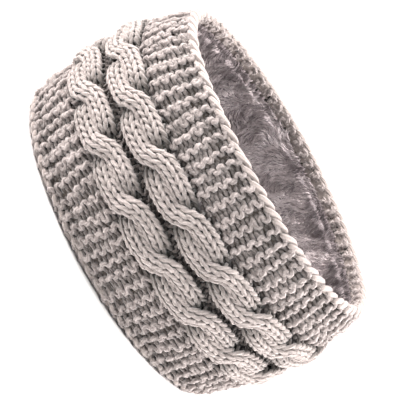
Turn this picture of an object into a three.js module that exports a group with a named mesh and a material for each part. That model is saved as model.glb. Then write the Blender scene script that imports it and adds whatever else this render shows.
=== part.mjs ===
// Ear warmer headband: a knitted loop with two rope cables round its middle, garter ridges on
// both sides of them, edges turned in over the rims, and a plush fur lining inside.
// Millimetres, +Z up. The loop stands on its lower rim, centred on the origin, with its long
// direction along X and its front facing -Y.

import * as THREE from 'three';
import { ParametricGeometry } from 'three/addons/geometries/ParametricGeometry.js';

// The loop seen from above, at the knit's outer face halfway up
const HALF_LENGTH = 101.4;
const FRONT_DEPTH = 78;
const BACK_DEPTH = 79.4;
const BACK_SLIMNESS = 0.016; // share by which the back's diagonals are drawn in from an ellipse

// The band from the side
const BAND_WIDTH = 104;
const TAPER = 2.7; // how much farther out the lower rim lies than the upper one
const BARREL = 7.3; // how far the rims draw in behind the middle
const BARREL_FULLNESS = 2.9; // 2 is a plain arc from rim to rim, more is flatter in the middle

// The knitted wall and its turned-in edges
const KNIT_WALL = 4;
const TURNED_WALL = 2.6;
const TURNED_DEPTH = 9; // height of the strip that shows inside each rim
const RIM_ROUNDING = 3; // height of the rounded outer corner of a rim
const RIM_INSET = 1.6; // how far that corner draws in
const REST_WIDTH = 3.2; // width of the flat strip that the loop stands on
const RIM_SCALLOP = 1; // how far the upper rim dips between two ridges

// Garter stitch: ridges run across the band, four to each cable crossing
const CROSSINGS = 17;
const RIDGES_PER_CROSSING = 4;
const RIDGE_RELIEF = 1.8;
const TURNED_RIDGE_RELIEF = 0.8;

// Rope cables: two strands side by side that change lanes at each crossing
const CABLES_HEIGHT = 52.8; // height of the line midway between the two cables
const CABLE_SPACING = 23.1; // height between the two cables' centre lines
const STRAND_WIDTH = 10.4;
const LANE_SPACING = 9.8;
const CABLE_CROWN = 3.7; // height of a strand's back over the garter face
const CABLE_EDGE = 0.4; // height of a cable's edge over the garter face
const DIVE_DEPTH = 0.55; // share of the crown that a strand loses where it dives under
const CROSSING_HALF = 0.25; // half the length of a lane change, as a share of the pitch
const DIVE_HALF = 0.16; // how far from the crossing a strand starts to sink, as such a share
const UPPER_CROSSING = 0.617; // first crossing after the front middle, in shares of the pitch
const LOWER_CROSSING = 0.094;
const GROUND_DEPTH = 1.5; // how deep the ground under the cables lies below the garter face

// Fur lining, held between the two turned-in edges
const LINING_THICKNESS = 7;
const LINING_EDGE_ROUNDING = 3;
const LOCK_RELIEF = 1.1; // depth of the hollows between locks of pile
const LOCKS_ROUND = 34;
const LOCKS_ACROSS = 5;

const CLEARANCE = 0.3;

const STATIONS_PER_RIDGE = 2;
const STATIONS = CROSSINGS * RIDGES_PER_CROSSING * STATIONS_PER_RIDGE;
const CABLE_FACE_POINTS = 7;
const LINING_STATIONS = 2 * LOCKS_ROUND;
const LINING_FACE_POINTS = 2 * LOCKS_ACROSS - 1;

const MIDDLE = BAND_WIDTH / 2;
const CABLE_HALF_WIDTH = (LANE_SPACING + STRAND_WIDTH) / 2;
const GROUND_HALF = CABLE_SPACING / 2 + CABLE_HALF_WIDTH + 2 * CLEARANCE;

// The loop's outline from above: an ellipse with a depth of its own in front and behind.
// It starts at the front middle and runs toward +X.
class LoopCurve extends THREE.Curve {
  getPoint(t, target = new THREE.Vector3()) {
    const angle = 2 * Math.PI * t - Math.PI / 2;
    const behind = Math.sin(angle) > 0;
    const depth = behind ? BACK_DEPTH : FRONT_DEPTH;
    const slimness = behind ? BACK_SLIMNESS : 0;
    const drawn = 1 - slimness * Math.sin(2 * angle) ** 2;
    const x = HALF_LENGTH * Math.cos(angle) * drawn;
    const y = depth * Math.sin(angle) * drawn;
    return target.set(x, y + (FRONT_DEPTH - BACK_DEPTH) / 2, 0);
  }
}

const loop = new LoopCurve();
loop.arcLengthDivisions = 1600;
const CROSSING_PITCH = loop.getLength() / CROSSINGS;

// A station of the loop: its point on the outline and the direction straight out from it
function station(round) {
  const share = round % 1;
  const point = loop.getPointAt(share);
  const tangent = loop.getTangentAt(share);
  return { point, outward: new THREE.Vector3(tangent.y, -tangent.x, 0).normalize() };
}

// How far the garter face lies outside the outline at a height
function face(height) {
  const share = height / BAND_WIDTH;
  return -TAPER * (share - 0.5) - BARREL * Math.abs(2 * share - 1) ** BARREL_FULLNESS;
}

// A closed ring swept round the loop. section(round) gives its corners as [out, height],
// down the outside and up the inside.
function sweptRing(section, corners, stations) {
  const rows = [];
  for (let i = 0; i < stations; i++) {
    const { point, outward } = station(i / stations);
    const corner = ([out, height]) => point.clone().addScaledVector(outward, out).setZ(height);
    rows.push(section(i / stations, i).map(corner));
  }
  const surface = (across, round, target) => {
    const row = rows[Math.round(round * stations) % stations];
    target.copy(row[Math.round(across * corners) % corners]);
  };
  return new ParametricGeometry(surface, corners, stations);
}

// Knitted wall: its stations lie by turns on a ridge and in the furrow beside it
function knitSection(round, index) {
  const side = index % STATIONS_PER_RIDGE === 0 ? 1 : -1;
  const ridge = (side * RIDGE_RELIEF) / 2;
  const turnedRidge = (side * TURNED_RIDGE_RELIEF) / 2;
  const top = BAND_WIDTH - (side < 0 ? RIM_SCALLOP : 0);
  const groundTop = CABLES_HEIGHT + GROUND_HALF;
  const groundBottom = CABLES_HEIGHT - GROUND_HALF;
  const garter = (height) => [face(height) + ridge, height];
  const ground = (height) => [face(height) - GROUND_DEPTH, height];
  const turned = (height) => [face(height) - KNIT_WALL - TURNED_WALL - turnedRidge, height];
  const back = (height) => [face(height) - KNIT_WALL, height];
  const upperTurn = BAND_WIDTH - TURNED_DEPTH;
  const rim = (height, inset) => [face(height) - inset, height];
  return [
    rim(top, RIM_INSET),
    garter(BAND_WIDTH - RIM_ROUNDING - RIM_SCALLOP),
    garter((BAND_WIDTH + groundTop) / 2),
    garter(groundTop + CLEARANCE),
    ground(groundTop),
    ground(CABLES_HEIGHT),
    ground(groundBottom),
    garter(groundBottom - CLEARANCE),
    garter(groundBottom / 2),
    garter(RIM_ROUNDING),
    rim(0, RIM_INSET),
    rim(0, RIM_INSET + REST_WIDTH),
    turned(RIM_ROUNDING),
    turned(TURNED_DEPTH),
    back(TURNED_DEPTH),
    back(MIDDLE),
    back(upperTurn),
    turned(upperTurn),
    turned(BAND_WIDTH - RIM_ROUNDING),
    rim(top, RIM_INSET + REST_WIDTH),
  ];
}

// A strand that rises through the nearest crossing, at a place counted in crossings from it
function risingStrand(place) {
  const nearest = place - Math.round(place);
  const turn = THREE.MathUtils.clamp(nearest / CROSSING_HALF, -1, 1);
  const lane = Math.sin((turn * Math.PI) / 2);
  const steepness = (Math.cos((turn * Math.PI) / 2) * LANE_SPACING * Math.PI)
    / (4 * CROSSING_HALF * CROSSING_PITCH);
  return { nearest, lane, halfWidth: (STRAND_WIDTH / 2) * Math.hypot(1, steepness) };
}

// A cable: the rising strand lies over the sinking one at every crossing
function cableSection(centre, firstCrossing) {
  return (round) => {
    const { nearest, lane, halfWidth } = risingStrand(round * CROSSINGS - firstCrossing);
    const reach = (lane * LANE_SPACING) / 2;
    const dive = DIVE_DEPTH * Math.exp(-((nearest / DIVE_HALF) ** 2));
    const strands = [
      { middle: reach, crown: CABLE_CROWN },
      { middle: -reach, crown: CABLE_CROWN * (1 - dive) },
    ];
    const half = Math.abs(reach) + Math.min(halfWidth, CABLE_HALF_WIDTH - Math.abs(reach));
    const corners = [];
    for (let i = 0; i < CABLE_FACE_POINTS; i++) {
      const across = half * (1 - (2 * i) / (CABLE_FACE_POINTS - 1));
      const heights = strands.map(({ middle, crown }) => {
        const off = Math.min(1, Math.abs(across - middle) / halfWidth);
        return CABLE_EDGE + (crown - CABLE_EDGE) * Math.sqrt(1 - off ** 2);
      });
      corners.push([face(centre + across) + Math.max(...heights), centre + across]);
    }
    const back = (height) => [face(height) - GROUND_DEPTH + CLEARANCE, height];
    corners.push(back(centre - half), back(centre + half));
    return corners;
  };
}

// Fur lining: a backing against the knitted wall, and pile that rounds off at both edges
function liningSection(round) {
  const low = TURNED_DEPTH + CLEARANCE;
  const high = BAND_WIDTH - TURNED_DEPTH - CLEARANCE;
  const backing = (height) => [face(height) - KNIT_WALL - CLEARANCE, height];
  const corners = [backing(high), backing(MIDDLE), backing(low)];
  for (let i = 0; i < LINING_FACE_POINTS; i++) {
    const share = i / (LINING_FACE_POINTS - 1);
    const height = low + (high - low) * share;
    const edge = Math.min(height - low, high - height, LINING_EDGE_ROUNDING);
    const rounding = LINING_EDGE_ROUNDING * (1 - Math.sqrt(edge / LINING_EDGE_ROUNDING));
    const lean = share + 0.5 * Math.sin(2 * Math.PI * round * 3);
    const wave = Math.cos(2 * Math.PI * (LOCKS_ROUND * round + lean));
    const lock = LOCK_RELIEF * wave * Math.cos(Math.PI * LOCKS_ACROSS * share);
    const pile = LINING_THICKNESS - rounding + (rounding > 0 ? 0 : lock);
    corners.push([face(height) - KNIT_WALL - CLEARANCE - pile, height]);
  }
  return corners;
}

function named(name, geometry, material) {
  const mesh = new THREE.Mesh(geometry, material);
  mesh.name = name;
  return mesh;
}

const knitYarn = new THREE.MeshStandardMaterial({ color: 0xc9bfbb, roughness: 0.95, metalness: 0 });
const cableYarn = new THREE.MeshStandardMaterial({ color: 0xd2c8c4, roughness: 0.95, metalness: 0 });
const plush = new THREE.MeshStandardMaterial({ color: 0x948a8d, roughness: 1, metalness: 0 });

const headband = new THREE.Group();

const knitCorners = knitSection(0, 0).length;
headband.add(named('knit_band', sweptRing(knitSection, knitCorners, STATIONS), knitYarn));

const cables = [
  { name: 'upper_cable', centre: CABLES_HEIGHT + CABLE_SPACING / 2, crossing: UPPER_CROSSING },
  { name: 'lower_cable', centre: CABLES_HEIGHT - CABLE_SPACING / 2, crossing: LOWER_CROSSING },
];
for (const { name, centre, crossing } of cables) {
  const section = cableSection(centre, crossing);
  headband.add(named(name, sweptRing(section, CABLE_FACE_POINTS + 2, STATIONS), cableYarn));
}

const liningCorners = liningSection(0).length;
const lining = sweptRing(liningSection, liningCorners, LINING_STATIONS);
headband.add(named('fur_lining', lining, plush));

export default headband;
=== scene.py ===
import math

import bmesh
import bpy
import numpy as np
from mathutils import Matrix, Vector


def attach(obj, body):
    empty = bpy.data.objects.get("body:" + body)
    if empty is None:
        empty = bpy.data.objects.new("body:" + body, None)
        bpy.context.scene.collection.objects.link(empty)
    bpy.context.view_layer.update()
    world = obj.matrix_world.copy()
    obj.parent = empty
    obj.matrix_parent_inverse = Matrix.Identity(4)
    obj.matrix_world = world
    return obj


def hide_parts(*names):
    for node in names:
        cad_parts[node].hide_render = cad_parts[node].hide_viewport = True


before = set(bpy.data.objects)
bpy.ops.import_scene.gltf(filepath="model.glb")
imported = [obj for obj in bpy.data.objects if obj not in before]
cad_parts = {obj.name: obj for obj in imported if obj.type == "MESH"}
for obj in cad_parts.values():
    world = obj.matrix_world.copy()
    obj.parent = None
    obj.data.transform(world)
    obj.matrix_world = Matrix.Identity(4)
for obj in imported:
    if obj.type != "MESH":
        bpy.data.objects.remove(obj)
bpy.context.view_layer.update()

# Ear warmer headband. Lengths are metres; a share runs once round the loop from the front
# middle toward +X; a place on the knit is a share, a height, and how far out from its face.
MM = 0.001
HALF_LENGTH = 101.4 * MM
FRONT_DEPTH = 78 * MM
BACK_DEPTH = 79.4 * MM
BACK_SLIMNESS = 0.016
BAND_WIDTH = 104 * MM
TAPER = 2.7 * MM
BARREL = 7.3 * MM
BARREL_FULLNESS = 2.9

ROWS = 136
CROSSINGS = 17
MIDDLE_HEIGHT = 52.8 * MM
CABLE_SPACING = 23.1 * MM
LANE_REACH = 5.1 * MM
STRAND_HALF = 5.45 * MM
CROSSING_HALF = 0.2
GROUND_HALF = 22.25 * MM
UPPER_CROSSING = 0.617
LOWER_CROSSING = 0.094

RIM_RADIUS = 3.3 * MM
TURNED_DEPTH = 9 * MM
LINING_LOW = 9.3 * MM
LINING_HIGH = 94.7 * MM
LINING_BACK = 4.3 * MM
LINING_THICKNESS = 7 * MM
EDGE_ROUNDING = 3 * MM
LOCK_RELIEF = 1.1 * MM
LOCKS_ROUND = 34
LOCKS_ACROSS = 5

random = np.random.default_rng(11)


# The loop

def outline_table():
    """The outline from above, as shares of its length, points and directions straight out"""
    turn = np.linspace(0, 2 * np.pi, 8001)
    angle = turn - np.pi / 2
    behind = np.sin(angle) > 0
    depth = np.where(behind, BACK_DEPTH, FRONT_DEPTH)
    drawn = 1 - np.where(behind, BACK_SLIMNESS, 0) * np.sin(2 * angle) ** 2
    x = HALF_LENGTH * np.cos(angle) * drawn
    y = depth * np.sin(angle) * drawn + (FRONT_DEPTH - BACK_DEPTH) / 2
    step = np.hypot(np.diff(x), np.diff(y))
    length = np.concatenate([[0], np.cumsum(step)])
    tangent_x = np.gradient(x, length)
    tangent_y = np.gradient(y, length)
    size = np.hypot(tangent_x, tangent_y)
    return length[-1], length / length[-1], x, y, tangent_y / size, -tangent_x / size


LOOP_LENGTH, *TABLE = outline_table()
PITCH = LOOP_LENGTH / CROSSINGS


def face(height):
    """How far the garter face lies outside the outline"""
    share = height / BAND_WIDTH
    return -TAPER * (share - 0.5) - BARREL * np.abs(2 * share - 1) ** BARREL_FULLNESS


RIM_DIP = 1.6 * MM
RIM_DIP_PLACE, RIM_DIP_HALF = 0.83, 0.07  # where round the loop, and how far to each side
RIM_DIP_FROM = 62 * MM  # the height where the dip begins


def on_band(share, out, height):
    """Points at shares of the loop, out from the garter face, at heights. Worn cloth isn't
    level: on one side in front the upper rim hangs a little lower"""
    share, out, height = np.broadcast_arrays(np.mod(share, 1), out, height)
    shares, xs, ys, out_xs, out_ys = TABLE
    upward = np.clip((height - RIM_DIP_FROM) / (BAND_WIDTH - RIM_DIP_FROM), 0, 1) ** 2
    height = height - RIM_DIP * upward * np.exp(-((share - RIM_DIP_PLACE) / RIM_DIP_HALF) ** 2)
    reach = face(height) + out
    x = np.interp(share, shares, xs) + np.interp(share, shares, out_xs) * reach
    y = np.interp(share, shares, ys) + np.interp(share, shares, out_ys) * reach
    return np.stack([x, y, height], -1)


def laid(share, out, height, away, away_out=1.0, away_up=0.0):
    """Points so far away from a surface in the band's section, and the direction away there"""
    points = on_band(share, out + away_out * away, height + away_up * away)
    farther = on_band(share, out + away_out * (away + MM), height + away_up * (away + MM))
    return points, (farther - points) / MM


# Spikes: strands of pile and the yarn's fuzz

SPIKE_FLATNESS = 0.6  # its thickness, as a share of its width


def spike_shape():
    """A slim three-sided spike standing on the origin, closed at its foot"""
    mesh = bmesh.new()
    bmesh.ops.create_cone(mesh, cap_ends=True, segments=3, radius1=0.5, radius2=0, depth=1,
                          matrix=Matrix.Translation((0, 0, 0.5)))
    mesh.verts.ensure_lookup_table()
    points = np.array([v.co for v in mesh.verts])
    faces = [[v.index for v in f.verts] for f in mesh.faces]
    mesh.free()
    return points, faces


def spikes(name, root, lean, beside, length, width):
    """Many spikes in one mesh: each stands on its root along lean, its broad side along
    beside. Its attribute tip runs from 0 at the foot to 1"""
    points, faces = spike_shape()
    count, corner_count = len(root), len(points)
    across = np.cross(lean, beside)
    placed = root[:, None] + lean[:, None] * np.outer(length, points[:, 2])[..., None]
    placed += beside[:, None] * np.outer(width, points[:, 0])[..., None]
    placed += across[:, None] * np.outer(width * SPIKE_FLATNESS, points[:, 1])[..., None]
    placed[..., 2] = np.maximum(placed[..., 2], 0)
    corners = np.concatenate([np.array(f) for f in faces])
    loops = (corners[None] + (np.arange(count) * corner_count)[:, None]).ravel()
    sizes = np.tile([len(f) for f in faces], count)
    mesh = bpy.data.meshes.new(name)
    mesh.vertices.add(count * corner_count)
    mesh.vertices.foreach_set("co", placed.reshape(-1).astype(np.float32))
    mesh.loops.add(len(loops))
    mesh.loops.foreach_set("vertex_index", loops.astype(np.int32))
    mesh.polygons.add(len(sizes))
    starts = np.concatenate([[0], np.cumsum(sizes)[:-1]])
    mesh.polygons.foreach_set("loop_start", starts.astype(np.int32))
    mesh.update(calc_edges=True)
    mesh.polygons.foreach_set("use_smooth", np.ones(len(mesh.polygons), bool))
    tip = mesh.attributes.new("tip", "FLOAT", "POINT")
    tip.data.foreach_set("value", np.tile(points[:, 2], count).astype(np.float32))
    return mesh


# Yarn

FUZZ_HAIRS = 5000
FUZZ_LENGTH = (1.0 * MM, 2.6 * MM)
FUZZ_WIDTH = 0.16 * MM
# The fuzz's level in the painted shade: high, so it is painted with little shade
FUZZ_PAINTED_LIGHT = 1.5
FUZZ_LIFT = (0.2, 1.1)
FUZZ_ROOT = 0.1 * MM
FUZZ_SIDE = 0.3  # fuzz grows only where the yarn is turned out by more than this share


def fuzz(points, aside):
    """Loose fibres that stand off the yarn at random"""
    source = np.random.default_rng(21)
    chosen = source.choice(len(points), FUZZ_HAIRS, replace=False)
    out = aside[chosen] / np.linalg.norm(aside[chosen], axis=1, keepdims=True)
    side = source.normal(0, 1, out.shape)
    side -= out * np.sum(side * out, axis=1, keepdims=True)
    side /= np.linalg.norm(side, axis=1, keepdims=True)
    lift = source.uniform(*FUZZ_LIFT, (FUZZ_HAIRS, 1))
    lean = np.cos(lift) * side + np.sin(lift) * out
    root = points[chosen] - FUZZ_ROOT * out
    mesh = spikes("fuzz", root, lean, np.cross(out, side),
                  source.uniform(*FUZZ_LENGTH, FUZZ_HAIRS), np.full(FUZZ_HAIRS, FUZZ_WIDTH))
    layer = mesh.attributes.new("painted_light", "FLOAT", "POINT")
    layer.data.foreach_set("value", np.full(len(mesh.vertices), FUZZ_PAINTED_LIGHT, np.float32))
    return mesh


def stitches(count, points, lean, reach, purl, next_purl, full=0.0):
    """One row of loops: places across in stitches, along in rows, depth and which part it is.
    A loop's foot and lower legs lie by its own kind, its head and upper legs by the next's."""
    place = np.arange(count * points + 1) / points
    turn = 2 * np.pi * place
    foot = 1 if purl else -1
    head = 1 if next_purl else -1
    keys = [0, 0.08 - full, 0.19 - full, 0.31 + full, 0.42 + full,
            0.58 - full, 0.69 - full, 0.81 + full, 0.92 + full, 1]
    depth = np.interp(place % 1, keys,
                      [foot, foot, -foot, -head, head, head, -head, -foot, foot, foot])
    across = place + lean * np.sin(2 * turn)
    along = -reach * np.cos(turn)
    return across, along, depth


def wander(count, points, size, tries):
    """A smooth random value for every point of each row, steady over about one stitch"""
    knots = random.normal(0, size, (tries, count + 2))
    place = np.arange(count * points + 1) / points + 0.5
    low = np.floor(place).astype(int)
    part = place - low
    part = part * part * (3 - 2 * part)
    return knots[:, low] * (1 - part) + knots[:, low + 1] * part


def smooth_noise(share, height, seed, round_count, across_count):
    """A soft random field over the band, with so many swells round the loop and across it"""
    source = np.random.default_rng(seed)
    knots = source.normal(0, 1, (round_count, across_count + 3))
    x = np.mod(share, 1) * round_count
    y = height / BAND_WIDTH * across_count + 0.5
    x_low, y_low = np.floor(x).astype(int), np.clip(np.floor(y).astype(int), 0, across_count + 1)
    x_part, y_part = x - x_low, np.clip(y - y_low, 0, 1)
    x_part = x_part ** 2 * (3 - 2 * x_part)
    y_part = y_part ** 2 * (3 - 2 * y_part)
    left, right = x_low % round_count, (x_low + 1) % round_count
    low = knots[left, y_low] * (1 - x_part) + knots[right, y_low] * x_part
    high = knots[left, y_low + 1] * (1 - x_part) + knots[right, y_low + 1] * x_part
    return low * (1 - y_part) + high * y_part


class Yarn:
    """Rows of yarn as laid: paths, thicknesses and how far out points lie, for painted shade"""

    def __init__(self, radius, sides=6):
        self.radius = radius
        self.sides = sides
        self.rows, self.aways, self.widths, self.painted_light_levels = [], [], [], []

    # A point's last value sets its painted shade: the lower it is, the darker the yarn is
    # painted
    def lay(self, place, width, depth):
        points, away = place
        self.rows.append(points)
        self.aways.append(away)
        self.widths.append(width)
        self.painted_light_levels.append(depth)

    def piece(self, name, hairs=True):
        """One mesh of tubes. Its uv map runs along and round, and a point attribute tells how
        far out each part lies, which sets its painted shade: darker where it lies deep or faces
        inward
        """
        curve = bpy.data.curves.new(name + "_path", "CURVE")
        curve.dimensions = "3D"
        curve.bevel_depth = self.radius
        curve.bevel_resolution = (self.sides - 4) // 2
        for row, width in zip(self.rows, self.widths):
            spline = curve.splines.new("POLY")
            spline.points.add(len(row) - 1)
            spline.points.foreach_set("co", np.c_[row, np.ones(len(row))].ravel())
            spline.points.foreach_set("radius", width)
        path = bpy.data.objects.new(name + "_path", curve)
        bpy.context.scene.collection.objects.link(path)
        graph = bpy.context.evaluated_depsgraph_get()
        mesh = bpy.data.meshes.new_from_object(path.evaluated_get(graph))
        bpy.data.objects.remove(path)
        bpy.data.curves.remove(curve)
        mesh.name = name
        points = np.empty(len(mesh.vertices) * 3, np.float32)
        mesh.vertices.foreach_get("co", points)
        rings = points.reshape(-1, self.sides, 3)
        aside = rings - rings.mean(axis=1, keepdims=True)
        away = np.concatenate(self.aways)[:, None]
        # Painted shade: the side of each yarn turned in toward the cloth is painted darker
        turned_out = np.sum(aside * away, axis=2) / self.radius
        painted_light = np.concatenate(self.painted_light_levels)[:, None] + turned_out
        points[2::3] = np.maximum(points[2::3], 0)
        mesh.vertices.foreach_set("co", points)
        layer = mesh.attributes.new("painted_light", "FLOAT", "POINT")
        layer.data.foreach_set("value", painted_light.ravel().astype(np.float32))
        ends = bmesh.new()
        ends.from_mesh(mesh)
        open_edges = [edge for edge in ends.edges if edge.is_boundary]
        bmesh.ops.holes_fill(ends, edges=open_edges, sides=self.sides)
        if hairs:
            outer = turned_out.ravel() > FUZZ_SIDE
            ends.from_mesh(fuzz(rings.reshape(-1, 3)[outer], aside.reshape(-1, 3)[outer]))
        ends.to_mesh(mesh)
        ends.free()
        mesh.polygons.foreach_set("use_smooth", np.ones(len(mesh.polygons), bool))
        piece = bpy.data.objects.new(name, mesh)
        bpy.context.scene.collection.objects.link(piece)
        return piece


# Garter stitch, turned in over the rims

GARTER_STITCHES = 9
GARTER_POINTS = 11
GARTER_YARN = 1.28 * MM
GARTER_SUNK = 2.6 * MM
GARTER_DEPTH = 1.1 * MM
RIDGE_RELIEF = 1.35 * MM
RIDGE_SWAY = 0.3
HEM_DIP = 0.9 * MM
HEM_FROM_RIM = 9.5 * MM
RIM_SINK = 1.5 * MM
LOWER_RIM_SINK = 0.3 * MM
RIM_CORE = 2.7 * MM
UNDER_CABLE = 2.2 * MM
HEM_HALF = 1.6 * MM
UNDER_FROM = 2.5 * MM
UNDER_LENGTH = 3.2 * MM
RIM_BEGIN = 1.5
CABLE_LAP = 3.9 * MM  # how far the garter rows run in under a cable's edge
GARTER_LEAN, GARTER_REACH = 0.12, 0.85
GARTER_DRIFT, GARTER_SLIDE, GARTER_LIFT = 0.09, 0.13, 0.3
RIDGE_SWELLS = (8, 34, 6)  # seed, swells round the loop, swells across it
# On the turned-in strip the stitches are shallower, the ridges lower and less sunk
INSIDE_SHALLOWER, INSIDE_LOWER, INSIDE_LESS_SUNK = 0.3, 0.5, 0.25
# How much thicker proud and lifted yarn is
PROUD_SWELL, LIFT_SWELL = 0.07, 0.16
# How much lighter or darker the yarn is painted, as painted light and shade: lighter for its
# lift, in painted shade at the hem, under a cable and at the rim, and lighter on the turned-in
# strip
LIFT_PAINTED_LIGHT, HEM_PAINTED_SHADE, UNDER_PAINTED_SHADE, RIM_PAINTED_SHADE, INSIDE_PAINTED_LIGHT = 0.5, -0.9, -0.5, -0.5, 1.6


def over_the_rim(along, start, upper):
    """The section from a cable's edge to the rim, over it and down inside: out, height and
    the direction away from the cloth"""
    turn_height = BAND_WIDTH - RIM_RADIUS if upper else RIM_RADIUS
    rise = abs(turn_height - start)
    angle = np.clip((along - rise) / RIM_RADIUS, 0, np.pi)
    past = np.maximum(along - rise - np.pi * RIM_RADIUS, 0)
    out = -RIM_RADIUS + RIM_RADIUS * np.cos(angle)
    climb = np.minimum(along, rise) + RIM_RADIUS * np.sin(angle) - past
    side = 1 if upper else -1
    return out, start + side * climb, np.cos(angle), side * np.sin(angle)


def garter(name, start, upper):
    """Garter rows across the band, from a cable's edge over the rim to the turned-in edge"""
    span = abs((BAND_WIDTH if upper else 0) - start) - RIM_RADIUS
    span += np.pi * RIM_RADIUS + TURNED_DEPTH - RIM_RADIUS
    knit = Yarn(GARTER_YARN)
    shape = (GARTER_STITCHES, GARTER_POINTS)
    drift = wander(*shape, GARTER_DRIFT, ROWS)
    slide = wander(*shape, GARTER_SLIDE, ROWS)
    lift = wander(*shape, GARTER_LIFT, ROWS)
    for row in range(ROWS):
        purl = row % 2 == 1
        across, along, depth = stitches(*shape, GARTER_LEAN, GARTER_REACH, purl, not purl)
        across = (across + drift[row]) / GARTER_STITCHES * span
        place = row - 0.5 + along + slide[row]
        out, height, away_out, away_up = over_the_rim(across, start, upper)
        sway = RIDGE_SWAY * smooth_noise(place / ROWS, height, *RIDGE_SWELLS)
        crest = np.cos(np.pi * place)
        inside = np.clip(-away_out, 0, 1)
        relief = (1 - INSIDE_SHALLOWER * inside) * GARTER_DEPTH * (depth + lift[row])
        relief = relief + (1 - INSIDE_LOWER * inside) * RIDGE_RELIEF * crest
        away = relief - (1 - INSIDE_LESS_SUNK * inside) * GARTER_SUNK
        rim_height = BAND_WIDTH if upper else 0
        from_rim = np.abs(np.abs(rim_height - height) - HEM_FROM_RIM)
        outside = away_out > 0.5
        hem = np.exp(-(from_rim / HEM_HALF) ** 2) * outside
        under = np.clip(1 - (np.abs(height - start) - UNDER_FROM) / UNDER_LENGTH, 0, 1) * outside
        away = away - HEM_DIP * hem - UNDER_CABLE * under
        at_rim = np.clip(RIM_BEGIN * np.abs(away_up), 0, 1)
        away = away - (RIM_SINK if upper else LOWER_RIM_SINK) * at_rim
        away = np.where(at_rim > 0, np.maximum(away, -RIM_CORE), away)
        proud = depth + crest
        # The last value sets painted shade: darker where yarn lies deep, at the hem, under a
        # cable, at the rim
        knit.lay(laid((place + sway) / ROWS, out, height, away, away_out, away_up),
                 1 + PROUD_SWELL * proud + LIFT_SWELL * lift[row],
                 proud + LIFT_PAINTED_LIGHT * lift[row] + HEM_PAINTED_SHADE * hem + UNDER_PAINTED_SHADE * under
                 + RIM_PAINTED_SHADE * at_rim + INSIDE_PAINTED_LIGHT * inside)
    return knit.piece(name)


RIM_LINKS = ROWS // 2
LINK_YARN = 1.65 * MM
LINK_POINTS = 13
LINK_ARC = 2.7 * MM
LINK_HEART = 4.1 * MM
LOWER_LINK_HEART = 4.9 * MM
LINK_START, LINK_REACH = 0.3, 1.55  # in rows: where its middle lies, and half its length
LINK_ANGLE, LINK_TURN = 1.15, 0.88  # round the rim: where its middle lies, and half its turn
LINK_THIN, LINK_TAPER, LINK_TUCK = 0.1, 0.45, 0.2
# Painted light on the links: their middles are painted lighter, their ends, where they go in,
# darker
LINK_PAINTED_LIGHT = 1.2
# Random differences between links: along the rim, turn, distance from its heart, thickness
LINK_UNEVEN = (0.14, 0.1, 0.12 * MM, 0.05)


def rim(name, upper):
    """The rope-like edge: one plump slanted link to each garter ridge"""
    edge = Yarn(LINK_YARN, sides=8)
    side = 1 if upper else -1
    centre = BAND_WIDTH - LINK_HEART if upper else LOWER_LINK_HEART
    part = np.linspace(-1, 1, LINK_POINTS)
    for link in range(RIM_LINKS):
        slid, turned, farther, plumper = random.normal(0, 1, 4) * LINK_UNEVEN
        share = (2 * link + LINK_START + part * LINK_REACH + slid) / ROWS
        angle = LINK_ANGLE + part * (LINK_TURN + turned)
        swell = 1 - LINK_THIN * part ** 2 - LINK_TAPER * part ** 6
        reach = (LINK_ARC + farther) * (1 - LINK_TUCK * part ** 4)
        out = -RIM_RADIUS + reach * np.cos(angle)
        place = laid(share, out, centre + side * reach * np.sin(angle), 0,
                     np.cos(angle), side * np.sin(angle))
        edge.lay(place, swell * (1 + plumper), LINK_PAINTED_LIGHT * (1 - np.abs(part) ** 6))
    return edge.piece(name, hairs=False)


# Cables and the ground between them

CABLE_POINTS = 15
STRAND_STITCHES = 2
CABLE_YARN = 1.1 * MM
CABLE_DEPTH = 1.1 * MM
CABLE_BACK = 1.8 * MM
CABLE_EDGE = -2.5 * MM
DIVE = 5.2 * MM
DIVE_HALF = 0.2
OVER_RISE = 1.1 * MM
SHADOW_HALF = 1.35 * DIVE_HALF
SHADOW_TONE = -3.2
STRAND_ROUNDNESS = 0.94
STRAND_LEAN, STRAND_REACH, STRAND_FULLNESS = 0.205, 0.87, 0.03
STRAND_DRIFT, STRAND_SLIDE, STRAND_LIFT = 0.03, 0.05, 0.14
STRAND_SWELL = 0.12
STRAND_PAINTED_LIGHT = 0.35


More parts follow.
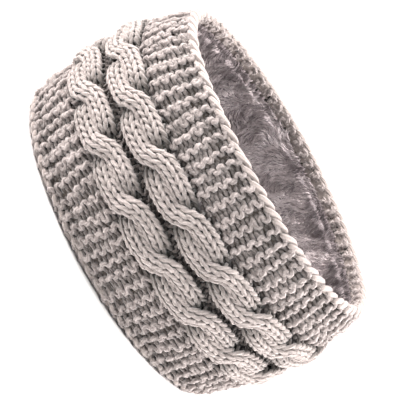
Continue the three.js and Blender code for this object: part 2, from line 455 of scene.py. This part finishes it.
def cable(name, centre, first):
    """Two strands of two stitch columns that change lanes at every crossing"""
    strands = Yarn(CABLE_YARN)
    shape = (STRAND_STITCHES, CABLE_POINTS)
    drift = wander(*shape, STRAND_DRIFT, 2 * ROWS)
    slide = wander(*shape, STRAND_SLIDE, 2 * ROWS)
    lift = wander(*shape, STRAND_LIFT, 2 * ROWS)
    for index in range(2 * ROWS):
        row, over = divmod(index, 2)
        across, along, depth = stitches(*shape, STRAND_LEAN, STRAND_REACH, False, False,
                                        STRAND_FULLNESS)
        place = row - 0.5 + along + slide[index]
        crossing = (place / ROWS) * CROSSINGS - first
        nearest = crossing - np.round((row - 0.5) / ROWS * CROSSINGS - first)
        turn = np.clip(nearest / CROSSING_HALF, -1, 1)
        lane = 0.5 * np.sin(turn * np.pi / 2) + 0.5 * np.sin(nearest * np.pi)
        slope = (np.cos(turn * np.pi / 2) / (2 * CROSSING_HALF) + np.cos(nearest * np.pi))
        slope = slope * 0.5 * LANE_REACH * np.pi / PITCH
        side = 2 * (across + drift[index]) / STRAND_STITCHES - 1
        half = STRAND_HALF * np.hypot(1, slope)
        middle = LANE_REACH * lane * (1 if over else -1)
        round_back = np.sqrt(1 - np.clip(np.abs(side) * STRAND_ROUNDNESS, 0, 1) ** 2)
        out = CABLE_EDGE + (CABLE_BACK - CABLE_EDGE) * round_back
        out = out + CABLE_DEPTH * (depth + lift[index])
        near = np.exp(-(nearest / DIVE_HALF) ** 2)
        shadow = np.exp(-(nearest / SHADOW_HALF) ** 2)
        out = out + (OVER_RISE if over else -DIVE) * near
        # The last value sets painted shade: a little lighter throughout and where lifted, with a
        # painted shadow on the under strand where it dives
        strands.lay(laid(place / ROWS, out, centre + middle + side * half, 0),
                    1 + STRAND_SWELL * (depth + lift[index]),
                    depth + STRAND_PAINTED_LIGHT + LIFT_PAINTED_LIGHT * lift[index]
                    + (0 if over else SHADOW_TONE) * shadow)
    return strands.piece(name)


GROUND_POINTS = 10
GROUND_YARN = 1.1 * MM
GROUND_SUNK = 3.5 * MM
GROUND_STITCHES = 2
GROUND_REACH_UP = 4.6 * MM  # half the width of the gutter's purl stitches
GROUND_LEAN, GROUND_REACH, GROUND_LIFT = 0.14, 0.8, 0.2
GROUND_DEPTH = 0.9 * MM
GROUND_SWELL = 0.08
# Painted shade: the gutter's purl stitches are painted darker
GROUND_PAINTED_SHADE = -0.8


def ground(name):
    """Purl stitches in the gutter between the cables"""
    bars = Yarn(GROUND_YARN)
    shape = (GROUND_STITCHES, GROUND_POINTS)
    lift = wander(*shape, GROUND_LIFT, ROWS)
    for row in range(ROWS):
        across, along, depth = stitches(*shape, GROUND_LEAN, GROUND_REACH, True, True)
        height = MIDDLE_HEIGHT + (2 * across / GROUND_STITCHES - 1) * GROUND_REACH_UP
        out = GROUND_DEPTH * (depth + lift[row]) - GROUND_SUNK
        bars.lay(laid((row - 0.5 + along) / ROWS, out, height, 0),
                 1 + GROUND_SWELL * lift[row], depth + GROUND_PAINTED_SHADE)
    return bars.piece(name, hairs=False)


# Swept shells

def swept(name, section, stations):
    """A closed ring: a section of (share, out, height) corners carried round the loop"""
    mesh = bmesh.new()
    first = [mesh.verts.new(point) for point in section(0)]
    count = len(first)
    start = [mesh.edges.new((first[i], first[(i + 1) % count])) for i in range(count)]
    edges, verts = start, first
    for station in range(1, stations):
        made = bmesh.ops.extrude_edge_only(mesh, edges=edges)["geom"]
        fresh = [g for g in made if isinstance(g, bmesh.types.BMVert)]
        follow = {}
        for vert in fresh:
            for edge in vert.link_edges:
                other = edge.other_vert(vert)
                if other in verts:
                    follow[other] = vert
        verts = [follow[vert] for vert in verts]
        for vert, point in zip(verts, section(station / stations)):
            vert.co = point
        edges = [mesh.edges.get((verts[i], verts[(i + 1) % count])) for i in range(count)]
    bmesh.ops.bridge_loops(mesh, edges=edges + start)
    bmesh.ops.recalc_face_normals(mesh, faces=mesh.faces)
    data = bpy.data.meshes.new(name)
    mesh.to_mesh(data)
    mesh.free()
    data.polygons.foreach_set("use_smooth", np.ones(len(data.polygons), bool))
    piece = bpy.data.objects.new(name, data)
    bpy.context.scene.collection.objects.link(piece)
    return piece


def wall_section(share):
    """The wool's own mass behind the yarn: it closes the gaps between stitches, and its dark
    colour there is painted shade. Its corners are (out from the face, height), up the outside
    and down the inside"""
    corners = [(-2.9, 101), (-2.7, 90), (-2.7, 77), (-4.4, 74), (-4.4, 31), (-2.7, 28),
               (-2.7, 14), (-2.9, 3), (-3.8, 1.7), (-4.4, 3), (-4.4, 9), (-4.25, 12),
               (-4.25, 52), (-4.25, 92), (-4.4, 95), (-4.4, 101), (-3.8, 102.3)]
    out, height = np.array(corners).T * MM
    return on_band(share, out, height)


def fold_section(share, upper):
    """The folded edge inside a rim, from the knit's outer face over the top to the strip's
    end. Its corners are (out from the face, distance from the rim)"""
    corners = [(-1.3, 3.9), (-1.2, 3.0), (-1.9, 2.1), (-3.3, 1.6), (-4.7, 2.1), (-5.4, 3.1),
               (-5.5, 5), (-5.9, 8.2), (-6.5, 10), (-4.5, 10.6), (-4.3, 5.5), (-3.0, 4.6)]
    out, from_rim = np.array(corners).T * MM
    return on_band(share, out, BAND_WIDTH - from_rim if upper else from_rim)


def pile_face(share, height):
    """How far inside the garter face the fur's surface lies"""
    edge = np.minimum(np.minimum(height - LINING_LOW, LINING_HIGH - height), EDGE_ROUNDING)
    edge = np.maximum(edge, 0)
    rounding = EDGE_ROUNDING * (1 - np.sqrt(edge / EDGE_ROUNDING))
    across = (height - LINING_LOW) / (LINING_HIGH - LINING_LOW)
    lean = across + 0.5 * np.sin(2 * np.pi * share * 3)
    wave = np.cos(2 * np.pi * (LOCKS_ROUND * share + lean))
    lock = LOCK_RELIEF * wave * np.cos(np.pi * LOCKS_ACROSS * across)
    relief = np.where(rounding > 0, 0, lock)
    return LINING_BACK + LINING_THICKNESS - rounding + relief


PILE_SHORT = 2.4 * MM
BACKING_EDGE = 1 * MM
SMALL_SHARE = 0.0005  # a short step along the loop, to find its direction
FACE_CORNERS, BACK_CORNERS = 25, 5


def lining_section(share):
    """The fur's backing cloth and the dense foot of its pile"""
    height = np.linspace(LINING_LOW, LINING_HIGH, FACE_CORNERS)
    inner = -pile_face(share, height) + PILE_SHORT
    inner[[0, -1]] = -LINING_BACK - BACKING_EDGE
    back = np.linspace(LINING_HIGH, LINING_LOW, BACK_CORNERS)
    out = np.concatenate([inner, np.full(BACK_CORNERS, -LINING_BACK)])
    return on_band(share, out, np.concatenate([height, back]))


# Fur pile

STRANDS = 36000
STRAND_WIDTH = (0.5 * MM, 0.95 * MM)
STRAND_LENGTH = 4.6 * MM
TUFT_SIZE = 2.5 * MM
TUFT_PULL = 0.6
PILE_EDGE = 20 * MM
PILE_PAST_EDGE = 1.5 * MM
ROOT_FROM_EDGE = 1 * MM
ROOT_RISE = 0.2 * MM
LENGTH_LIMITS = (2.6 * MM, 7.5 * MM)
LIFT_LIMITS = (0.15, 1.2)
LIFT_MIDDLE = 0.5
EDGE_FLATTER = 0.75
PARTING_HALF = 0.2
PARTING_SHORTER = 0.35
# Random fields over the pile: seed, swells round the loop, swells across it
BROAD, LOCK, FINE = (3, 26, 5), (4, 84, 13), (5, 190, 30)
LIFT_FIELD, LENGTH_FIELD = (6, 90, 14), (7, 84, 13)
# How much each field turns a strand, changes its length, or lightens it. Of the last, parting
# and edge are painted shade: in the creases where locks part, and near the lining's edges
TURN_BY = {"broad": 0.7, "lock": 0.5, "fine": 0.3, "random": 0.12}
LIFT_BY = {"field": 0.22, "random": 0.14}
LENGTH_BY = {"field": 0.2, "fine": 0.12, "random": 0.1}
SHADE = 0.79
SHADE_BY = {"broad": 0.24, "lock": 0.13, "fine": 0.1, "parting": -0.34, "edge": -0.66,
            "tuft": 0.08, "random": 0.08}


def tufts(share, height):
    """How far each strand lies from the middle of its tuft, along and up, and the tuft's tone"""
    source = np.random.default_rng(9)
    tufts_round = round(LOOP_LENGTH / TUFT_SIZE)
    tufts_up = math.ceil(BAND_WIDTH / TUFT_SIZE)
    jitter = source.uniform(-0.3, 0.3, (2, tufts_round, tufts_up))
    tone = source.normal(0, 1, (tufts_round, tufts_up))
    level = np.clip(np.floor(height / TUFT_SIZE).astype(int), 0, tufts_up - 1)
    place = share * tufts_round + 0.5 * (level % 2)
    step = np.floor(place).astype(int)
    tuft = step % tufts_round
    along = (step + 0.5 + jitter[0][tuft, level] - place) * LOOP_LENGTH / tufts_round
    up = (level + 0.5 + jitter[1][tuft, level]) * TUFT_SIZE - height
    return along, up, tone[tuft, level]


def fur_pile(name, low, high):
    """Short plush over the lining's face between two heights, in combed, swirling locks"""
    share = random.uniform(0, 1, STRANDS)
    height = random.uniform(low, high, STRANDS)
    broad = smooth_noise(share, height, *BROAD)
    lock = smooth_noise(share, height, *LOCK)
    fine = smooth_noise(share, height, *FINE)
    comb = -np.pi / 2 + TURN_BY["broad"] * broad + TURN_BY["lock"] * lock
    comb += TURN_BY["fine"] * fine + random.normal(0, TURN_BY["random"], STRANDS)
    lift = LIFT_MIDDLE + LIFT_BY["field"] * smooth_noise(share, height, *LIFT_FIELD)
    lift += random.normal(0, LIFT_BY["random"], STRANDS)
    from_edge = np.minimum(height - LINING_LOW, LINING_HIGH - height)
    at_edge = np.clip(1 - from_edge / PILE_EDGE, 0, 1)
    lift = np.clip(lift, *LIFT_LIMITS) * (1 - EDGE_FLATTER * at_edge)
    longer = LENGTH_BY["field"] * smooth_noise(share, height, *LENGTH_FIELD)
    length = STRAND_LENGTH * (1 + longer + LENGTH_BY["fine"] * fine)
    parting = np.exp(-(lock / PARTING_HALF) ** 2)
    length *= (1 - PARTING_SHORTER * parting) * random.normal(1, LENGTH_BY["random"], STRANDS)
    length = np.clip(length, *LENGTH_LIMITS)
    width = random.uniform(*STRAND_WIDTH, STRANDS)
    inner = pile_face(share, np.clip(height, LINING_LOW + ROOT_FROM_EDGE,
                                     LINING_HIGH - ROOT_FROM_EDGE))
    root_out = -inner + PILE_SHORT + ROOT_RISE
    root = on_band(share, root_out, height)
    ahead = on_band(share + SMALL_SHARE, root_out, height) - root
    ahead /= np.linalg.norm(ahead, axis=1, keepdims=True)
    upward = np.tile([0.0, 0.0, 1.0], (STRANDS, 1))
    inward = np.cross(upward, ahead)
    flow = np.cos(comb)[:, None] * ahead + np.sin(comb)[:, None] * upward
    lean = np.cos(lift)[:, None] * flow + np.sin(lift)[:, None] * inward
    beside = np.cross(flow, inward)
    tuft_ahead, tuft_up, tuft_tone = tufts(share, height)
    reach = lean * length[:, None] + TUFT_PULL * (tuft_ahead[:, None] * ahead
                                                  + tuft_up[:, None] * upward)
    length = np.linalg.norm(reach, axis=1)
    lean = reach / length[:, None]
    beside -= lean * np.sum(beside * lean, axis=1, keepdims=True)
    beside /= np.linalg.norm(beside, axis=1, keepdims=True)
    mesh = spikes(name, root, lean, beside, length, width)
    tone = mesh.attributes.new("tone", "FLOAT", "POINT")
    # Tone that differs at random, with painted shade in the partings and near the lining's edges
    shade = SHADE + SHADE_BY["broad"] * broad + SHADE_BY["lock"] * lock
    shade += SHADE_BY["fine"] * fine + SHADE_BY["parting"] * parting
    shade += SHADE_BY["edge"] * at_edge + SHADE_BY["tuft"] * tuft_tone
    shade += SHADE_BY["random"] * random.normal(0, 1, STRANDS)
    shade = np.repeat(shade, len(mesh.vertices) // STRANDS)
    tone.data.foreach_set("value", shade.astype(np.float32))
    piece = bpy.data.objects.new(name, mesh)
    bpy.context.scene.collection.objects.link(piece)
    return piece


# Materials

FIBRE_SCALE, SLOW_SCALE, DRIFT_SCALE = 1100.0, 95.0, 55.0
# What fibres, plies and the slow change give to the yarn's height and to its tone
FIBRE_HEIGHT, PLY_HEIGHT = 1.6, 0.8
FIBRE_TONE, SLOW_TONE, PLY_TONE = 0.7, 0.3, 0.2
# Tones at which yarn has its middle and its light colour
MID_TONE, LIGHT_TONE = 0.4, 0.78
# Painted shade: a stitch is painted dark below the first and has its own colour above the second
FULL_PAINTED_SHADE, NO_PAINTED_SHADE = -1.3, 2.4
YARN_BUMP, NAP_BUMP = 0.36 * MM, 0.6 * MM
NAP_DARK, NAP_LIGHT = 0.3, 0.7
# What a strand's own tone, its tip and the slow drift give to the pile's colour. The tip's part
# is partly the pile's own colour and partly painted shade at the strands' roots
PILE_TONE, PILE_TIP, PILE_DRIFT = 0.9, 0.32, 0.25
PILE_COLOURS = ((0.3, (128, 119, 121)), (0.8, (214, 203, 204)), (1.0, (242, 233, 234)))
# The Mix node's colour sockets, which share their names with its other sockets
MIX_FIRST, MIX_SECOND, MIX_RESULT = 6, 7, 2


def new_material(name):
    material = bpy.data.materials.new(name)
    material.use_nodes = True
    return material, material.node_tree, material.node_tree.nodes["Principled BSDF"]


def set_up(shader, **values):
    """Even values on a shader's own inputs, whose names have spaces for the low lines here"""
    for label, value in values.items():
        shader.inputs[label.replace("_", " ")].default_value = value


def noise(tree, scale, detail, roughness):
    """A noise laid on the piece's own coordinates"""
    place = tree.nodes.new("ShaderNodeTexCoord")
    made = tree.nodes.new("ShaderNodeTexNoise")
    set_up(made, Scale=scale, Detail=detail, Roughness=roughness)
    tree.links.new(place.outputs["Object"], made.inputs["Vector"])
    return made.outputs[0]


def attribute(tree, name):
    made = tree.nodes.new("ShaderNodeAttribute")
    made.attribute_name = name
    return made.outputs["Fac"]


def maths(tree, operation, first, second=None, third=None):
    made = tree.nodes.new("ShaderNodeMath")
    made.operation = operation
    for socket, value in zip(made.inputs, (first, second, third)):
        if value is None:
            continue
        if isinstance(value, (int, float)):
            socket.default_value = value
        else:
            tree.links.new(value, socket)
    return made.outputs[0]


def ramp(tree, source, stops):
    made = tree.nodes.new("ShaderNodeValToRGB")
    elements = made.color_ramp.elements
    while len(elements) < len(stops):
        elements.new(0.5)
    for element, (place, colour) in zip(elements, stops):
        element.position = place
        element.color = srgb(*colour)
    tree.links.new(source, made.inputs[0])
    return made.outputs[0]


def bumped(tree, shader, height, strength, distance):
    bump = tree.nodes.new("ShaderNodeBump")
    set_up(bump, Strength=strength, Distance=distance)
    tree.links.new(height, bump.inputs["Height"])
    tree.links.new(bump.outputs[0], shader.inputs["Normal"])


def srgb(red, green, blue):
    """A colour as it looks on a screen, 0 to 255, turned into light for the shader"""
    values = np.array([red, green, blue]) / 255
    linear = np.where(values <= 0.04045, values / 12.92, ((values + 0.055) / 1.055) ** 2.4)
    return (*(float(v) for v in linear), 1)


def spun_yarn_group():
    """Plies twisted round the yarn, fine fibres and a slow change of tone along the row"""
    group = bpy.data.node_groups.new("spun_yarn", "ShaderNodeTree")
    for label, in_out in (("Stripes", "INPUT"), ("Plies", "INPUT"),
                          ("Height", "OUTPUT"), ("Tone", "OUTPUT")):
        group.interface.new_socket(label, in_out=in_out, socket_type="NodeSocketFloat")
    enter = group.nodes.new("NodeGroupInput")
    leave = group.nodes.new("NodeGroupOutput")
    link = group.links.new
    uv = group.nodes.new("ShaderNodeUVMap")
    uv.uv_map = "UVMap"
    split = group.nodes.new("ShaderNodeSeparateXYZ")
    link(uv.outputs[0], split.inputs[0])
    along = maths(group, "MULTIPLY", split.outputs[0], enter.outputs["Stripes"])
    around = maths(group, "MULTIPLY", split.outputs[1], enter.outputs["Plies"])
    phase = maths(group, "MULTIPLY", maths(group, "ADD", along, around), 2 * math.pi)
    ply = maths(group, "MULTIPLY_ADD", maths(group, "SINE", phase), 0.5, 0.5)
    fibre = noise(group, FIBRE_SCALE, 3.0, 0.6)
    slow = noise(group, SLOW_SCALE, 2.0, 0.5)
    height = maths(group, "MULTIPLY_ADD", fibre, FIBRE_HEIGHT,
                   maths(group, "MULTIPLY", ply, PLY_HEIGHT))
    tone = maths(group, "MULTIPLY_ADD", slow, SLOW_TONE, maths(group, "MULTIPLY", ply, PLY_TONE))
    tone = maths(group, "MULTIPLY_ADD", fibre, FIBRE_TONE, tone)
    link(height, leave.inputs["Height"])
    link(tone, leave.inputs["Tone"])
    return group


def yarn_material(name, stripes, plies, light, mid, dark):
    """Soft matt wool: parts of a loop that lie deep or face inward are painted darker as painted
    shade, and fibres catch light at the edges
    """
    material, tree, shader = new_material(name)
    link = tree.links.new
    spun = tree.nodes.new("ShaderNodeGroup")
    spun.node_tree = SPUN_YARN
    set_up(spun, Stripes=stripes, Plies=plies)
    colour = ramp(tree, spun.outputs["Tone"], [(MID_TONE, mid), (LIGHT_TONE, light)])
    painted_shade_mask = tree.nodes.new("ShaderNodeMapRange")
    painted_shade_mask.inputs["From Min"].default_value = FULL_PAINTED_SHADE
    painted_shade_mask.inputs["From Max"].default_value = NO_PAINTED_SHADE
    link(attribute(tree, "painted_light"), painted_shade_mask.inputs["Value"])
    mix = tree.nodes.new("ShaderNodeMix")
    mix.data_type = "RGBA"
    link(painted_shade_mask.outputs[0], mix.inputs["Factor"])
    mix.inputs[MIX_FIRST].default_value = srgb(*dark)
    link(colour, mix.inputs[MIX_SECOND])
    link(mix.outputs[MIX_RESULT], shader.inputs["Base Color"])
    bumped(tree, shader, spun.outputs["Height"], 1.0, YARN_BUMP)
    set_up(shader, Roughness=1.0, Specular_IOR_Level=0.08, Sheen_Weight=0.5,
           Sheen_Roughness=0.5)
    return material


def plain_wool(name, dark, light, scale, strength):
    """Wool or pile seen only between other things: a fine uneven nap"""
    material, tree, shader = new_material(name)
    nap = noise(tree, scale, 4.0, 0.65)
    tree.links.new(ramp(tree, nap, [(NAP_DARK, dark), (NAP_LIGHT, light)]),
                   shader.inputs["Base Color"])
    bumped(tree, shader, nap, strength, NAP_BUMP)
    set_up(shader, Roughness=0.95, Specular_IOR_Level=0.1)
    return material


def pile_material(name):
    """Plush strands: each has a tone of its own and is paler toward its tip; the darker root is
    partly the pile's own colour and partly painted shade
    """
    material, tree, shader = new_material(name)
    drift = noise(tree, DRIFT_SCALE, 3.0, 0.55)
    value = maths(tree, "MULTIPLY_ADD", attribute(tree, "tone"), PILE_TONE,
                  maths(tree, "MULTIPLY", attribute(tree, "tip"), PILE_TIP))
    value = maths(tree, "MULTIPLY_ADD", drift, PILE_DRIFT, value)
    tree.links.new(ramp(tree, value, PILE_COLOURS), shader.inputs["Base Color"])
    set_up(shader, Roughness=0.9, Specular_IOR_Level=0.1, Sheen_Weight=0.15,
           Sheen_Roughness=0.4)
    return material


SPUN_YARN = spun_yarn_group()
# The yarn materials' dark colours are painted shade, mixed in where the yarn lies deep
YARN_PAINTED_SHADE = (50, 49, 44)
NAP_SCALE, NAP_STRENGTH = 900, 0.8
FOOT_SCALE, FOOT_STRENGTH = 1100, 1.0
knit_wool = yarn_material("knit_wool", stripes=42, plies=4, light=(192, 182, 179),
                          mid=(146, 137, 134), dark=YARN_PAINTED_SHADE)
# The rim's yarn is the same wool painted lighter: painted light on the rim
rim_wool_painted_light = yarn_material("rim_wool_painted_light", stripes=1.2, plies=5, light=(210, 199, 194),
                         mid=(182, 171, 166), dark=(84, 77, 73))
cable_wool = yarn_material("cable_wool", stripes=9, plies=4, light=(200, 190, 186),
                           mid=(154, 145, 141), dark=YARN_PAINTED_SHADE)
# The gutter's yarn is the same wool painted darker: painted shade in the gutter
ground_wool_painted_shade = yarn_material("ground_wool_painted_shade", stripes=9, plies=4, light=(150, 141, 137),
                            mid=(130, 122, 118), dark=(58, 54, 51))
# Painted shade: the wall behind the yarn is painted dark, where it shows in the gaps between
# stitches
inner_wool_painted_shade = plain_wool("inner_wool_painted_shade", dark=(66, 61, 57), light=(98, 91, 86),
                        scale=NAP_SCALE, strength=NAP_STRENGTH)
fold_wool = plain_wool("fold_wool", dark=(156, 147, 142), light=(184, 174, 169),
                       scale=NAP_SCALE, strength=NAP_STRENGTH)
pile_foot = plain_wool("pile_foot", dark=(150, 142, 144), light=(188, 179, 181),
                       scale=FOOT_SCALE, strength=FOOT_STRENGTH)
plush = pile_material("plush")


# Pieces

SHELL_STATIONS = 170
UPPER_CENTRE = MIDDLE_HEIGHT + CABLE_SPACING / 2
LOWER_CENTRE = MIDDLE_HEIGHT - CABLE_SPACING / 2

upper_garter = garter("upper_garter", MIDDLE_HEIGHT + GROUND_HALF - CABLE_LAP, True)
lower_garter = garter("lower_garter", MIDDLE_HEIGHT - GROUND_HALF + CABLE_LAP, False)
upper_rim = rim("upper_rim", True)
lower_rim = rim("lower_rim", False)
upper_cable = cable("upper_cable_yarn", UPPER_CENTRE, UPPER_CROSSING)
lower_cable = cable("lower_cable_yarn", LOWER_CENTRE, LOWER_CROSSING)
gutter = ground("cable_ground")
wall = swept("knit_wall", wall_section, SHELL_STATIONS)
upper_fold = swept("upper_fold", lambda share: fold_section(share, True), SHELL_STATIONS)
lower_fold = swept("lower_fold", lambda share: fold_section(share, False), SHELL_STATIONS)
backing = swept("fur_backing", lining_section, SHELL_STATIONS)
lower_pile = fur_pile("lower_pile", LINING_LOW - PILE_PAST_EDGE, BAND_WIDTH / 2)
upper_pile = fur_pile("upper_pile", BAND_WIDTH / 2, LINING_HIGH + PILE_PAST_EDGE)

for piece, material, slot, cad_node in (
        (upper_garter, knit_wool, "knit_yarn", "knit_band"),
        (lower_garter, knit_wool, "knit_yarn", "knit_band"),
        (upper_rim, rim_wool_painted_light, "knit_yarn", "knit_band"),
        (lower_rim, rim_wool_painted_light, "knit_yarn", "knit_band"),
        (gutter, ground_wool_painted_shade, "knit_yarn", "knit_band"),
        (wall, inner_wool_painted_shade, "knit_yarn", "knit_band"),
        (upper_fold, fold_wool, "knit_yarn", "knit_band"),
        (lower_fold, fold_wool, "knit_yarn", "knit_band"),
        (upper_cable, cable_wool, "cable_yarn", "upper_cable"),
        (lower_cable, cable_wool, "cable_yarn", "lower_cable"),
        (backing, pile_foot, "plush_pile", "fur_lining"),
        (lower_pile, plush, "plush_pile", "fur_lining"),
        (upper_pile, plush, "plush_pile", "fur_lining")):
    piece.data.materials.clear()
    piece.data.materials.append(material)
    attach(piece, "root")
    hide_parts(cad_node)


# Floor, light and camera

FLOOR_SIZE = 4
FLOOR_WHITE = (0.93, 0.93, 0.93, 1)
SKY_LIGHT = 0.22  # the sky's light on things, though it is plain white to the camera
LAMP_COLOUR = (1.0, 0.93, 0.91)
OVERHEAD_POWER = 2.8
OVERHEAD_SPREAD = math.radians(50)
OVERHEAD_DIRECTION = (0.05, 0.3, -1)

CAMERA_AZIMUTH = math.radians(-11.0)
CAMERA_ELEVATION = math.radians(17.199)
CAMERA_ROLL = math.radians(62.958)
CAMERA_DISTANCE = 0.85566
CAMERA_AIM = (-1.863 * MM, -0.701 * MM)
FOCAL_PIXELS, PICTURE_PIXELS, SENSOR_WIDTH = 1561.05, 400, 36
CLIP_START = 0.01

floor_mesh = bmesh.new()
bmesh.ops.create_grid(floor_mesh, x_segments=1, y_segments=1, size=FLOOR_SIZE)
floor_data = bpy.data.meshes.new("floor")
floor_mesh.to_mesh(floor_data)
floor_mesh.free()
floor = bpy.data.objects.new("floor", floor_data)
bpy.context.scene.collection.objects.link(floor)
floor_paint, _, floor_shader = new_material("floor_paint")
set_up(floor_shader, Base_Color=FLOOR_WHITE, Roughness=0.9)
floor_data.materials.append(floor_paint)

world = bpy.data.worlds.new("studio")
bpy.context.scene.world = world
world.use_nodes = True
sky = world.node_tree.nodes["Background"]
sky.inputs["Color"].default_value = (1, 1, 1, 1)
rays = world.node_tree.nodes.new("ShaderNodeLightPath")
brightness = maths(world.node_tree, "MULTIPLY_ADD", rays.outputs["Is Camera Ray"],
                   1 - SKY_LIGHT, SKY_LIGHT)
world.node_tree.links.new(brightness, sky.inputs["Strength"])


def lamp(name, light, direction, place=(0, 0, 0)):
    """A light at a place, shining in a direction"""
    made = bpy.data.objects.new(name, light)
    made.location = place
    made.rotation_euler = Vector(direction).to_track_quat("-Z", "Y").to_euler()
    bpy.context.scene.collection.objects.link(made)


def softbox(name, place, target, size, watts):
    light = bpy.data.lights.new(name, "AREA")
    light.color = LAMP_COLOUR
    light.shape = "RECTANGLE"
    light.size, light.size_y = size
    light.energy = watts
    lamp(name, light, Vector(target) - Vector(place), place)


softbox("left_softbox", place=(-1.0, 0.12, 0.4), target=(-0.05, 0, 0.05), size=(0.5, 0.7),
        watts=21)
softbox("inner_softbox", place=(0, -0.05, 0.6), target=(0, 0.08, 0.05), size=(0.2, 0.2),
        watts=2.2)
softbox("right_softbox", place=(1.0, 0.12, 0.4), target=(0.05, 0, 0.05), size=(0.5, 0.7),
        watts=23)
overhead = bpy.data.lights.new("overhead", "SUN")
overhead.energy = OVERHEAD_POWER
overhead.angle = OVERHEAD_SPREAD
lamp("overhead", overhead, OVERHEAD_DIRECTION)

across = Vector((math.cos(CAMERA_AZIMUTH), math.sin(CAMERA_AZIMUTH), 0))
back = Vector((math.sin(CAMERA_AZIMUTH) * math.cos(CAMERA_ELEVATION),
               -math.cos(CAMERA_AZIMUTH) * math.cos(CAMERA_ELEVATION),
               math.sin(CAMERA_ELEVATION)))
up = back.cross(across)
rolled_across = math.cos(CAMERA_ROLL) * across + math.sin(CAMERA_ROLL) * up
rolled_up = -math.sin(CAMERA_ROLL) * across + math.cos(CAMERA_ROLL) * up
middle = Vector((0, (FRONT_DEPTH - BACK_DEPTH) / 2, BAND_WIDTH / 2))
eye = middle + across * CAMERA_AIM[0] + up * CAMERA_AIM[1] + back * CAMERA_DISTANCE
camera_data = bpy.data.cameras.new("camera")
camera_data.sensor_width = SENSOR_WIDTH
camera_data.lens = FOCAL_PIXELS / PICTURE_PIXELS * SENSOR_WIDTH
camera_data.clip_start = CLIP_START
camera = bpy.data.objects.new("camera", camera_data)
turn = Matrix((rolled_across, rolled_up, back)).transposed()
camera.matrix_world = Matrix.Translation(eye) @ turn.to_4x4()
bpy.context.scene.collection.objects.link(camera)
bpy.context.scene.camera = camera
bpy.context.scene.view_settings.view_transform = "Standard"
